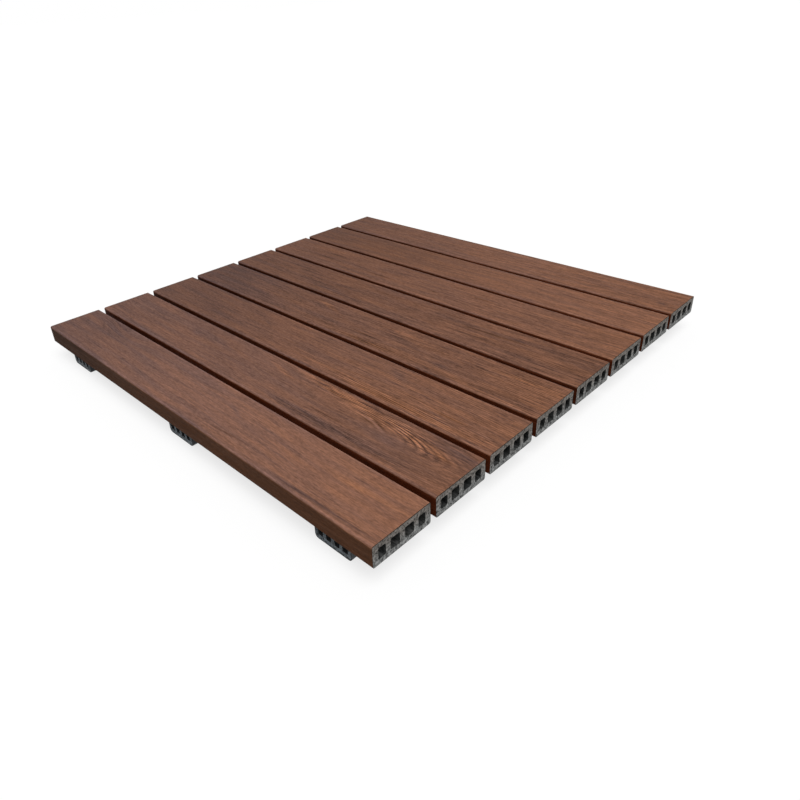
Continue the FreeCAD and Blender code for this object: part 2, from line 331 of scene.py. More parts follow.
def finished(
    mesh: BMesh,
    name: str,
    materials: Sequence[bpy.types.Material],
    nodes: Sequence[str],
    crease: float = 38,
) -> None:
    """Make a mesh a piece of the tile, in metres, in place of its plain solids.

    Args:
        mesh: The mesh, which is used up.
        name: The piece's name.
        materials: Its finishes, in the order of its faces' numbers.
        nodes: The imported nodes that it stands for.
        crease: The angle in degrees from which an edge stays sharp.
    """
    bmesh.ops.scale(mesh, vec=(MM, MM, MM), verts=mesh.verts)
    for face in mesh.faces:
        face.smooth = True
    piece = temporary(mesh, name)
    piece.data.set_sharp_from_angle(angle=math.radians(crease))
    for material in materials:
        piece.data.materials.append(material)
    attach(piece, BODY)
    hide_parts(*nodes)
    triangles = sum(len(face.vertices) - 2 for face in piece.data.polygons)
    log.info("%s: %d triangles", name, triangles)


# Finishes


class Nodes:
    """A node tree, which grows call by call."""

    def __init__(self, owner: bpy.types.Material | bpy.types.World) -> None:
        """Start with the tree that a material or a world has at first."""
        owner.use_nodes = True
        self.tree = owner.node_tree

    def node(self, kind: str, **settings: object) -> bpy.types.Node:
        """Add a node with these settings."""
        added = self.tree.nodes.new(kind)
        for name, value in settings.items():
            setattr(added, name, value)
        return added

    def feed(self, socket: Socket, value: object) -> None:
        """Give a socket a value or a colour, or link it to the socket that gives one."""
        if isinstance(value, Socket):
            self.tree.links.new(value, socket)
        elif socket.type == "RGBA":
            socket.default_value = (*value, 1)
        else:
            socket.default_value = value

    def fed(self, kind: str, inputs: dict[int | str, object], **settings: object) -> Socket:
        """Add a node and feed its inputs.

        Args:
            kind: The node's type.
            inputs: What each input gets, by its number or its name.
            settings: The node's properties.

        Returns:
            The node's first output.
        """
        added = self.node(kind, **settings)
        for name, value in inputs.items():
            self.feed(added.inputs[name], value)
        return added.outputs[0]

    def math(self, operation: str, *values: object) -> Socket:
        """Work on one value, or join several values one after the other.

        Args:
            operation: The name of the operation.
            values: Numbers and sockets.

        Returns:
            The result.
        """
        result, *others = values
        for other in others or [0]:
            result = self.fed("ShaderNodeMath", {0: result, 1: other}, operation=operation)
        return result


class Shader(Nodes):
    """The tree of a material with one principled shader."""

    def __init__(self, name: str) -> None:
        """Start a material of this name."""
        self.material = bpy.data.materials.new(name)
        super().__init__(self.material)
        self.surface = self.tree.nodes["Principled BSDF"]
        self.place = self.node("ShaderNodeTexCoord").outputs["Object"]

    def axis(self, name: str) -> Socket:
        """Return the object's coordinate along one axis."""
        apart = self.node("ShaderNodeSeparateXYZ")
        self.feed(apart.inputs[0], self.place)
        return apart.outputs[name]

    def noise(self, vector: Socket, detail: float, roughness: float) -> Socket:
        """Return noise around one half, of a size of one unit, with some finer layers."""
        inputs = {"Vector": vector, "Scale": 1, "Detail": detail, "Roughness": roughness}
        return self.fed("ShaderNodeTexNoise", inputs)

    def cells(self, scale: Point, detail: float, roughness: float) -> Socket:
        """Return noise in the object's coordinates, with this many cells per metre."""
        vector = self.fed("ShaderNodeMapping", {"Vector": self.place, "Scale": scale})
        return self.noise(vector, detail, roughness)

    def attribute(self, name: str) -> Socket:
        """Return a value that the piece's points carry."""
        return self.node("ShaderNodeAttribute", attribute_name=name).outputs["Fac"]

    def spread(
        self, value: Socket, low: float, high: float, to_low: float, to_high: float
    ) -> Socket:
        """Return a value, mapped smoothly from one range to another and held there."""
        names = ("Value", "From Min", "From Max", "To Min", "To Max")
        inputs = dict(zip(names, (value, low, high, to_low, to_high)))
        return self.fed("ShaderNodeMapRange", inputs, interpolation_type="SMOOTHSTEP")

    def swing(
        self, value: Socket, strength: float, reach: float = 0.2, middle: float = 0
    ) -> Socket:
        """Return a noise as a swing around a middle, full at this reach from one half."""
        return self.spread(value, 0.5 - reach, 0.5 + reach, middle - strength, middle + strength)

    def worn(self, value: Socket, roughness: float) -> Socket:
        """Return a roughness that a noise changes slightly."""
        return self.spread(value, 0.3, 0.7, roughness + 0.06, roughness - 0.05)

    def mix(self, factor: Socket, first: object, second: object) -> Socket:
        """Return a colour between two colours.

        Args:
            factor: How near it is to the second one, held between 0 and 1.
            first: A colour or a socket.
            second: A colour or a socket.

        Returns:
            The mixed colour.
        """
        added = self.node("ShaderNodeMix", data_type="RGBA")
        self.feed(added.inputs["Factor"], factor)
        for name, colour in (("A", first), ("B", second)):
            socket = next(s for s in added.inputs if s.name == name and s.type == "RGBA")
            self.feed(socket, colour)
        return next(s for s in added.outputs if s.type == "RGBA")

    def dimmed(self, colour: Socket, strength: Socket) -> Socket:
        """Return a colour times a value."""
        return self.fed("ShaderNodeVectorMath", {0: colour, "Scale": strength}, operation="SCALE")

    def finish(
        self,
        colour: Socket,
        roughness: object,
        height: Socket,
        depth: float,
        specular: float = 0.5,
        metallic: float = 0,
    ) -> bpy.types.Material:
        """Feed the shader and return the material.

        Args:
            colour: The base colour.
            roughness: The roughness.
            height: The pattern of the bump.
            depth: The bump's depth in metres.
            specular: The strength of the gloss, the same all over.
            metallic: One for bare metal.

        Returns:
            The finished material.
        """
        for name, value in (
            ("Base Color", colour),
            ("Roughness", roughness),
            ("Specular IOR Level", specular),
            ("Metallic", metallic),
            ("Normal", self.fed("ShaderNodeBump", {"Height": height, "Distance": depth})),
        ):
            self.feed(self.surface.inputs[name], value)
        return self.material


@dataclass(frozen=True)
class Strand:
    """Noise that is stretched along a board's grain.

    It has its number of cells per metre along the board and per millimetre across
    its lanes. Warmth and tone say how far it swings those of the skin.
    """

    along: float
    across: float
    layer: float
    detail: float
    roughness: float
    warmth: float = 0
    tone: float = 0


@dataclass(frozen=True)
class CappingFinish:
    """The matt wood-grained skin of one board.

    The board's points carry the lanes and the growth rings that its streaks follow,
    how strongly the rings show, how warm and how light the skin is, with the painted
    highlight on its rounded edges and the painted shade on its sides, and how far it
    has the painted shade and reddish bounce light of the gaps.
    """

    number: int
    lightness: float
    warm: Colour = (0.264, 0.114, 0.059)
    cool: Colour = (0.126, 0.075, 0.067)
    dash: Colour = (0.060, 0.036, 0.036)
    # Painted shade and painted reddish bounce light on the sides that face a neighbouring board
    # across a gap
    painted_gap_shade: Colour = (0.26, 0.056, 0.018)
    roughness: float = 0.68
    specular: float = 0.04
    bump: float = 0.0003
    blotches: Strand = Strand(8, 0.10, 0, 3, 0.5, warmth=0.12, tone=0.03)
    streaks: Strand = Strand(14, 0.36, 5, 3, 0.6, warmth=0.07, tone=0.09)
    fibres: Strand = Strand(32, 0.5, 9, 4, 0.7, tone=0.29)
    flecks: Strand = Strand(170, 0.85, 13, 3, 0.75, tone=0.33)
    dashes: Strand = Strand(24, 0.48, 17, 2, 0.55)
    fine_reach: float = 0.25
    board_layers: float = 3.7
    late_wood: Range = (0.1, 0.95, 0.25, -1)
    early_wood: Range = (-1, -0.5, 0.75, 0)
    unbroken: Range = (0.35, 0.65, 0.1, 1)
    liveliness: Range = (0, 0.8, 0.5, 1.7)
    dashed: Range = (0.57, 0.7, 0, 0.5)
    line_warmth: float = 0.15
    line_tone: float = 0.5
    streak_height: float = 0.4
    fleck_height: float = 0.5

    def material(self) -> bpy.types.Material:
        """Build the skin."""
        shader = Shader(f"capping_{self.number}")
        along = shader.axis("X")
        lane = shader.attribute("lane")
        figure = shader.attribute("figure")
        blotch, streak, fibre, fleck, dash = (
            self.strand(shader, along, lane, strand)
            for strand in (self.blotches, self.streaks, self.fibres, self.flecks, self.dashes)
        )
        wave = shader.math("SINE", shader.math("MULTIPLY", shader.attribute("ring"), math.tau))
        late = shader.spread(wave, *self.late_wood)
        early = shader.spread(wave, *self.early_wood)
        unbroken = shader.spread(fibre, *self.unbroken)
        line = shader.math("MULTIPLY", shader.math("ADD", late, early), figure, unbroken)
        # The streaks are weak where the rings hardly show
        lively = shader.spread(figure, *self.liveliness)

        warmth = shader.math(
            "ADD",
            shader.attribute("warmth"),
            0.5,
            shader.swing(blotch, self.blotches.warmth),
            shader.swing(streak, self.streaks.warmth),
            shader.math("MULTIPLY", line, self.line_warmth),
        )
        colour = shader.mix(warmth, self.cool, self.warm)
        dark = shader.math("MULTIPLY", shader.spread(dash, *self.dashed), lively)
        colour = shader.mix(dark, colour, self.dash)
        # Painted gap shade, only on sides that face a neighbour
        colour = shader.mix(shader.attribute("painted_gap_shade"), colour, self.painted_gap_shade)

        grainy = shader.math(
            "ADD",
            shader.swing(fibre, self.fibres.tone, self.fine_reach),
            shader.swing(streak, self.streaks.tone),
        )
        tone = shader.math(
            "ADD",
            shader.math("MULTIPLY", grainy, lively),
            self.lightness,
            shader.math("MULTIPLY", line, self.line_tone),
            shader.swing(blotch, self.blotches.tone),
            shader.swing(fleck, self.flecks.tone, self.fine_reach),
        )
        # The points' tone carries the painted highlight on the rounded edges and the painted shade
        # on the sides
        tone = shader.math("MULTIPLY", tone, shader.attribute("tone"))
        height = shader.math(
            "ADD",
            shader.math("MULTIPLY", streak, self.streak_height),
            fibre,
            shader.math("MULTIPLY", fleck, self.fleck_height),
        )
        rough = shader.worn(streak, self.roughness)
        return shader.finish(shader.dimmed(colour, tone), rough, height, self.bump, self.specular)

    def strand(self, shader: Shader, along: Socket, lane: Socket, strand: Strand) -> Socket:
        """Add a noise that runs along the grain.

        Args:
            shader: The board's shader.
            along: The place along the board.
            lane: The lane of its grain.
            strand: What the noise is like.

        Returns:
            The noise.
        """
        inputs = {
            "X": shader.math("MULTIPLY", along, strand.along),
            "Y": shader.math("MULTIPLY", lane, strand.across),
            "Z": self.number * self.board_layers + strand.layer,
        }
        flow = shader.fed("ShaderNodeCombineXYZ", inputs)
        return shader.noise(flow, strand.detail, strand.roughness)


@dataclass(frozen=True)
class SawnFinish:
    """Sawn composite at the ends of a bar, speckled with wood flour.

    Its colour changes from the lower wall to the upper one, between two heights.
    """

    name: str
    lower: Colour
    upper: Colour
    levels: Pair
    speck_cells: Point = (360, 360, 360)
    cloud_cells: Point = (150, 150, 150)
    saw_cells: Point = (400, 2600, 240)
    speckle: float = 0.85
    speck_reach: float = 0.16
    clouds: float = 0.22
    saw_marks: float = 0.08
    roughness: float = 0.8
    specular: float = 0.2
    bump: float = 0.0003

    def material(self) -> bpy.types.Material:
        """Build the speckled face with its saw marks."""
        shader = Shader(self.name)
        speck = shader.cells(self.speck_cells, 4, 0.75)
        cloud = shader.cells(self.cloud_cells, 2, 0.5)
        saw = shader.cells(self.saw_cells, 2, 0.5)
        level = shader.spread(shader.axis("Z"), *self.levels, 0, 1)
        colour = shader.mix(level, self.lower, self.upper)
        tone = shader.math(
            "ADD",
            shader.swing(speck, self.speckle, self.speck_reach, 1),
            shader.swing(cloud, self.clouds),
            shader.swing(saw, self.saw_marks),
        )
        height = shader.math("ADD", speck, saw)
        colour = shader.dimmed(colour, tone)
        return shader.finish(colour, self.roughness, height, self.bump, self.specular)


@dataclass(frozen=True)
class DrawnFinish:
    """Composite as it leaves the die, with fine lines along the bar."""

    name: str
    light: Colour
    dark: Colour
    line_cells: Point
    contrast: float = 0.15
    cloud_cells: Point = (45, 45, 45)
    roughness: float = 0.55
    specular: float = 0.35
    bump: float = 0.0001

    def material(self) -> bpy.types.Material:
        """Build the smooth face with its drawn lines."""
        shader = Shader(self.name)
        line = shader.cells(self.line_cells, 3, 0.6)
        cloud = shader.cells(self.cloud_cells, 3, 0.55)
        colour = shader.mix(shader.swing(cloud, 0.5, middle=0.5), self.dark, self.light)
        colour = shader.dimmed(colour, shader.swing(line, self.contrast, middle=1))
        rough = shader.worn(cloud, self.roughness)
        return shader.finish(colour, rough, line, self.bump, self.specular)


@dataclass(frozen=True)
class SteelFinish:
    """Plain stainless steel of a screw, turned and slightly dull."""

    name: str = "screw_steel"
    light: Colour = (0.62, 0.61, 0.59)
    dark: Colour = (0.42, 0.41, 0.40)
    scratch_cells: Point = (2400, 2400, 700)
    cloud_cells: Point = (300, 300, 300)
    scratched: Range = (0.3, 0.7, 0.28, 0.42)
    bump: float = 0.00002

    def material(self) -> bpy.types.Material:
        """Build the metal with its fine scratches."""
        shader = Shader(self.name)
        scratch = shader.cells(self.scratch_cells, 2, 0.6)
        cloud = shader.cells(self.cloud_cells, 2, 0.5)
        colour = shader.mix(shader.swing(cloud, 0.5, middle=0.5), self.dark, self.light)
        rough = shader.spread(scratch, *self.scratched)
        return shader.finish(colour, rough, scratch, self.bump, metallic=1)


# The boards' grain


@dataclass(frozen=True)
class Patch:
    """A long patch that differs from the board around it.

    It is warmer or cooler, lighter or darker, and its rings show more or less. Its
    slope is how far it runs across the board for each millimetre along it, and its
    push is how far it moves the rings aside.
    """

    x: float
    y: float
    reach: float
    spread: float
    warmth: float
    tone: float
    figure: float = 0
    slope: float = 0
    push: float = 0

    @classmethod
    def streak(
        cls, x: float, y: float, reach: float, tone: float, warmth: float = 0, slope: float = 0
    ) -> "Patch":
        """Return a patch that is a fine streak."""
        return cls(x, y, reach, STREAK_SPREAD, warmth, tone, 0, slope)

    def weight(self, x: float, y: float) -> float:
        """Return how strongly a point belongs to the patch."""
        along = x - self.x
        away = (along / self.reach) ** 2 + ((y - self.y - self.slope * along) / self.spread) ** 2
        return math.exp(-away)


@dataclass(frozen=True)
class Ripple:
    """Noise over a board: how strong it is, and how long and how wide its waves are."""

    strength: float
    along: float
    across: float
    layer: float

    def at(self, x: float, across: float, seed: float) -> float:
        """Return the noise at a point of the board with this seed."""
        place = (x / self.along, across / self.across, seed + self.layer)
        return self.strength * noise.noise(place)


@dataclass(frozen=True)
class Grain:
    """How one board's growth rings lie, and how deep they are embossed.

    The pith lies beside or under the board's middle line, at a depth that changes
    along the board, which bends the rings into arches where it comes near. The
    board gets warmer, lighter and livelier from the left to the right, each by an
    amount that grows over its own reach. Sizes are in millimetres.
    """

    seed: float
    pith_across: float = 150
    pith_depth: float = 25
    pith_slope: float = 0.03
    pith_least: float = 0
    ring_width: float = 2.6
    groove_depth: float = 0.2
    groove_least: float = 0.3
    groove_gain: float = 1.2
    groove_unbroken: float = 0.05
    pore_share: float = 0.35
    figure: float = 0.27
    figure_reach: float = 500
    drift: float = 0.2
    warmth_reach: float = 300
    tone_reach: float = 6000
    wander: Ripple = Ripple(5, 230, 150, 0)
    ripple: Ripple = Ripple(0.8, 60, 14, 9)
    breaks: Ripple = Ripple(0.9, 38, 1, 17)
    break_rate: float = 0.8
    pores: Ripple = Ripple(0.5, 14, 1.4, 31)
    patches: tuple[Patch, ...] = ()

    def lane(self, x: float, s: float) -> float:
        """Find the lane of the grain that a point of the unrolled skin lies on.

        Args:
            x: The place along the board.
            s: The place across it, measured around its rounded edges.

        Returns:
            The lane.
        """
        pushed = sum(patch.push * patch.weight(x, s) for patch in self.patches if patch.push)
        return s + self.wander.at(x, s, self.seed) + self.ripple.at(x, s, self.seed) + pushed

    def ring(self, x: float, lane: float) -> float:
        """Return the growth ring at a place along a lane, with its fraction."""
        depth = max(self.pith_depth + self.pith_slope * x, self.pith_least)
        return math.hypot(lane - self.pith_across, depth) / self.ring_width

    def relief(self, x: float, s: float, ring: float, figure: float) -> float:
        """Find how deep the embossing lies below the skin.

        Args:
            x: The place along the board.
            s: The place across it.
            ring: The growth ring there.
            figure: How strongly the rings show there.

        Returns:
            The depth.
        """
        groove = (0.5 + 0.5 * math.sin(math.tau * ring)) ** 2
        broken = 0.5 + self.breaks.at(x, ring * self.break_rate, self.seed)
        groove = groove * min(max(broken, self.groove_unbroken), 1)
        pores = 0.5 + self.pores.at(x, s, self.seed)
        gain = self.groove_least + self.groove_gain * figure
        return self.groove_depth * (gain * groove + self.pore_share * pores)

    def look(self, x: float, s: float) -> tuple[float, float, float]:
        """Find the look of a point.

        Args:
            x: The place along the board.
            s: The place across it.

        Returns:
            How warm and how light the skin is, and how strongly its rings show.
        """
        warmth = self.drift * x / self.warmth_reach
        tone = 1 + self.drift * x / self.tone_reach
        figure = self.figure * (1 + x / self.figure_reach)
        for patch in self.patches:
            weight = patch.weight(x, s)
            warmth += weight * patch.warmth
            tone += weight * patch.tone
            figure += weight * patch.figure
        return warmth, tone, figure


# The tile's pieces


@dataclass(frozen=True)
class Layout:
    """Where boards, battens and screws lie."""

    boards: int = 8
    battens: int = 3
    board_pitch: float = 76
    batten_pitch: float = 243
    screw_along: float = 5.125
    screw_across: float = 16.5

    def board_lines(self) -> list[float]:
        """Return the boards' middle lines from the front to the back."""
        return spaced(self.boards, self.board_pitch)

    def batten_lines(self) -> list[float]:
        """Return the battens' middle lines from the left to the right."""
        return spaced(self.battens, self.batten_pitch)

    def screws(self, boards: Sequence[float], battens: Sequence[float]) -> list[Pair]:
        """Return the places of the two screws at each crossing of these lines."""
        return [
            (x + side * self.screw_along, y + side * self.screw_across)
            for x in battens
            for y in boards
            for side in SIDES
        ]


@dataclass
class DeckBoards:
    """The eight hollow boards, alike but for their grain."""

    layout: Layout
    grains: tuple[Grain, ...]
    finishes: tuple[CappingFinish, ...]
    core: SawnFinish = SawnFinish(
        "board_core", (0.30, 0.305, 0.30), (0.235, 0.215, 0.195), BOARD_LEVELS
    )
    # The chambers' drawn inner skin, darker than the sawn core and darkened much further with
    # painted shade in the hollows
    inside: DrawnFinish = DrawnFinish(
        "board_chamber_dark_skin_and_shade", (0.046, 0.047, 0.046), (0.014, 0.015, 0.015), (120, 420, 420), 0.8
    )
    # The sawn section of the brown cap: partly its own brown, painted near black with shade along
    # the end's edge
    rim: SawnFinish = SawnFinish(
        "board_rim_cap_and_shade", (0.034, 0.022, 0.016), (0.034, 0.022, 0.016), BOARD_LEVELS
    )
    width: float = 69
    height: float = 23
    length: float = 600
    base: float = 23
    top_radius: float = 2
    bottom_radius: float = 2
    top_facets: int = 5
    bottom_facets: int = 4
    bottom_wall: float = 5.5
    web: float = 5.5
    centre_web: float = 6
    chamber_height: float = 11.5
    inner_chamber: float = 10.75
    outer_chamber: float = 8.75
    chamber_radius: float = 1.5
    chamber_facets: int = 3
    skin: Skin = Skin(1.0, 0.4, 0.35)
    pilot_radius: float = 1.55
    pilot_depth: float = 13.5
    pilot_facets: int = 20
    top_strips: int = 110
    side_strips: int = 9
    steps: int = 170
    emboss_fade: float = 2.5
    # Painted shade on the sides, partly their own darker unbrushed skin: below the rounded edge a
    # side turns darker and warmer, less dark towards the right end
    side_tone_and_painted_shade: float = 0.30
    side_tone_and_painted_shade_reach: float = 780
    side_warmth_and_painted_shade: float = 0.8
    side_start: float = 2.5
    side_fade: float = 0.8
    # Painted highlight on the rounded upper edge: a lighter, cooler band that stands in for the
    # reflection of the white surroundings
    painted_highlight_middle: float = 0.9
    painted_highlight_reach: float = 2.3
    painted_highlight_tone: float = 0.36
    painted_highlight_warmth: float = -0.2

    def outline(self) -> RoundedBox:
        """Return the board's outer form, with its middle line at the origin."""
        return RoundedBox(
            0,
            self.base + self.height / 2,
            self.width,
            self.height,
            self.top_radius,
            self.bottom_radius,
            self.top_facets,
            self.bottom_facets,
        )

    def chambers(self) -> tuple[RoundedBox, ...]:
        """Return the four chambers, the outer ones narrower."""
        inner = (self.centre_web + self.inner_chamber) / 2
        outer = inner + (self.inner_chamber + self.outer_chamber) / 2 + self.web
        up = self.base + self.bottom_wall + self.chamber_height / 2
        corners = (self.chamber_radius,) * 2 + (self.chamber_facets,) * 2
        return tuple(
            RoundedBox(side * across, up, width, self.chamber_height, *corners)
            for across, width in ((inner, self.inner_chamber), (outer, self.outer_chamber))
            for side in SIDES
        )

    def blank(self) -> BMesh:
        """Build the plain board at the tile's middle, with its bores and a fine upper skin."""
        bar = HollowBar(self.outline(), self.chambers(), self.length, self.skin)
        low = self.base - OVERSHOOT
        high = self.base + self.pilot_depth
        profile = ((0, low), (self.pilot_radius, low), (self.pilot_radius, high), (0, high))
        pilots = repeated(
            turned(profile, self.pilot_facets), self.layout.screws([0], self.layout.batten_lines())
        )
        mesh = bored(bar.solid(), pilots, Part.CORE)
        self.divide(mesh)
        return mesh

    def divide(self, mesh: BMesh) -> None:
        """Divide the top, the rounded edges and the sides finely enough for the embossing."""
        top = self.base + self.height
        low = self.base + self.bottom_radius
        across_top = []
        across_side = []
        for edge in mesh.edges:
            first, second = (vert.co for vert in edge.verts)
            if abs(first.x - second.x) > CLOSE or abs(abs(first.x) - self.length / 2) > CLOSE:
                continue
            if min(first.z, second.z) > top - CLOSE and abs(first.y - second.y) > self.width / 2:
                across_top.append(edge)
            on_side = min(abs(first.y), abs(second.y)) > self.width / 2 - CLOSE
            if on_side and abs(first.z - second.z) > self.height / 3:
                across_side.append(edge)
        bmesh.ops.subdivide_edges(mesh, edges=across_top, cuts=self.top_strips - 1)
        bmesh.ops.subdivide_edges(mesh, edges=across_side, cuts=self.side_strips - 1)
        lengthwise = [
            edge
            for edge in mesh.edges
            if edge.calc_length() > self.length - CLOSE
            and edge.verts[0].co.z > low - CLOSE
            and any(face.material_index == Part.SKIN for face in edge.link_faces)
        ]
        bmesh.ops.subdivide_edges(mesh, edges=lengthwise, cuts=self.steps - 1)

    def unrolled(self, y: float, z: float) -> tuple[float, Vector]:
        """Find a point of the section on the unrolled skin.

        Args:
            y: The point's distance from the board's middle line.
            z: Its height.

        Returns:
            Its place across the skin, and the direction that points out of it.
        """
        side = math.copysign(1, y)
        flat = self.width / 2 - self.top_radius
        shoulder = self.base + self.height - self.top_radius
        if abs(y) <= flat:
            return y, Vector((0, 0, 1))
        if z >= shoulder:
            angle = math.atan2(abs(y) - flat, z - shoulder)
            out = Vector((0, side * math.sin(angle), math.cos(angle)))
            return side * (flat + self.top_radius * angle), out
        corner = flat + self.top_radius * math.pi / 2
        return side * (corner + shoulder - z), Vector((0, side, 0))

    def edge(self, place: float) -> Pair:
        """Find how far a point belongs to the side, which gets painted shade, and to the painted
        highlight on the rounded edge above it.

        Args:
            place: The place across the unrolled skin.

        Returns:
            Two shares from 0 to 1.
        """
        down = abs(place) - self.width / 2 + self.top_radius
        side = min(max((down - self.side_start) / self.side_fade, 0), 1)
        painted_highlight = max(1 - abs(down - self.painted_highlight_middle) / self.painted_highlight_reach, 0)
        return side, painted_highlight

    def faces_gap(self, number: int, place: float) -> bool:
        """Return whether a board has a neighbour on the side where this place lies."""
        return 1 <= number + (1 if place > 0 else -1) <= self.layout.boards

    def emboss(self, mesh: BMesh, grain: Grain, number: int) -> None:
        """Press the grain into the skin and note it on the points for the finish.

        Args:
            mesh: The plain board at the tile's middle.
            grain: The board's grain.
            number: The board's number from the front.
        """
        names = ("lane", "ring", "warmth", "tone", "figure", "painted_gap_shade")
        layers = [mesh.verts.layers.float.new(name) for name in names]
        low = self.base + self.bottom_radius
        skin = [
            vert
            for vert in mesh.verts
            if any(face.material_index == Part.SKIN for face in vert.link_faces)
        ]
        for vert in skin:
            place, out = self.unrolled(vert.co.y, vert.co.z)
            x = vert.co.x
            lane = grain.lane(x, place)
            ring = grain.ring(x, lane)
            warmth, tone, figure = grain.look(x, place)
            # Paint the highlight on the rounded edge, lighter and cooler, and the shade on the
            # sides, which are partly darker skin of their own
            side, painted_highlight = self.edge(place)
            warmth += painted_highlight * self.painted_highlight_warmth
            warmth += side * self.side_warmth_and_painted_shade
            tone *= 1 + painted_highlight * self.painted_highlight_tone
            tone *= 1 - side * (1 - self.side_tone_and_painted_shade * (1 + x / self.side_tone_and_painted_shade_reach))
            # The painted gap shade goes only on sides that face a neighbouring board
            painted_gap_shade = side * self.faces_gap(number, place)
            for layer, value in zip(layers, (lane, ring, warmth, tone, figure, painted_gap_shade)):
                vert[layer] = value
            if vert.co.z >= low:
                strength = min((vert.co.z - low) / self.emboss_fade, 1)
                vert.co -= out * (strength * grain.relief(x, place, ring, figure))

    def build(self) -> None:
        """Build every board from the same blank and put it in its place."""
        sawn = [finish.material() for finish in (self.core, self.inside, self.rim)]
        blank = self.blank()
        for number, y in enumerate(self.layout.board_lines(), 1):
            mesh = blank.copy()
            self.emboss(mesh, self.grains[number - 1], number)
            bmesh.ops.translate(mesh, vec=(0, y, 0), verts=mesh.verts)
            capping = self.finishes[number - 1].material()
            name = f"board_{number}"
            finished(mesh, f"deck_{name}", (capping, *sawn), [name])
        blank.free()


@dataclass
class Battens:
    """The three hollow battens under the boards."""

    layout: Layout
    finishes: tuple[DrawnFinish | SawnFinish, ...] = (
        DrawnFinish("batten_skin", (0.036, 0.040, 0.046), (0.018, 0.020, 0.024), BATTEN_LINES),
        SawnFinish("batten_core", (0.20, 0.225, 0.245), (0.15, 0.17, 0.185), BATTEN_LEVELS),
        DrawnFinish("batten_chamber", (0.03, 0.032, 0.035), (0.016, 0.018, 0.02), BATTEN_LINES),
        SawnFinish("batten_rim", (0.02, 0.022, 0.025), (0.02, 0.022, 0.025), BATTEN_LEVELS),
    )
    width: float = 46
    height: float = 23
    length: float = 584
    radius: float = 4
    facets: int = 5
    web: float = 4
    wall: float = 5.5
    chambers: int = 4
    chamber: float = 6.25
    chamber_radius: float = 1
    chamber_facets: int = 3
    skin: Skin = Skin(0.9, 0.9, 0.9)
    bore_radius: float = 2.25
    bore_facets: int = 24
    sink_radius: float = 4.1
    sink: float = 0.5
    sink_top: float = 2.241

    def blank(self) -> BMesh:
        """Build one batten along Y at the tile's middle, with its countersunk bores."""
        up = self.height / 2
        corners = (self.radius,) * 2 + (self.facets,) * 2
        outline = RoundedBox(0, up, self.width, self.height, *corners)
        tall = self.height - 2 * self.wall
        corners = (self.chamber_radius,) * 2 + (self.chamber_facets,) * 2
        chambers = tuple(
            RoundedBox(across, up, self.chamber, tall, *corners)
            for across in spaced(self.chambers, self.chamber + self.web)
        )
        mesh = HollowBar(outline, chambers, self.length, self.skin).solid()
        quarter = Matrix.Rotation(math.pi / 2, 3, "Z")
        bmesh.ops.rotate(mesh, cent=(0, 0, 0), matrix=quarter, verts=mesh.verts)
        bore = turned(
            (
                (0, -OVERSHOOT),
                (self.sink_radius, -OVERSHOOT),
                (self.sink_radius, self.sink),
                (self.bore_radius, self.sink_top),
                (self.bore_radius, self.height + OVERSHOOT),
                (0, self.height + OVERSHOOT),
            ),
            self.bore_facets,
        )
        bores = repeated(bore, self.layout.screws(self.layout.board_lines(), [0]))
        return bored(mesh, bores, Part.CHAMBER)

    def build(self) -> None:
        """Build every batten from the same blank and put it in its place."""
        materials = [finish.material() for finish in self.finishes]
        blank = self.blank()
        for number, x in enumerate(self.layout.batten_lines(), 1):
            mesh = blank.copy()
            bmesh.ops.translate(mesh, vec=(x, 0, 0), verts=mesh.verts)
            name = f"batten_{number}"
            finished(mesh, f"deck_{name}", materials, [name])
        blank.free()


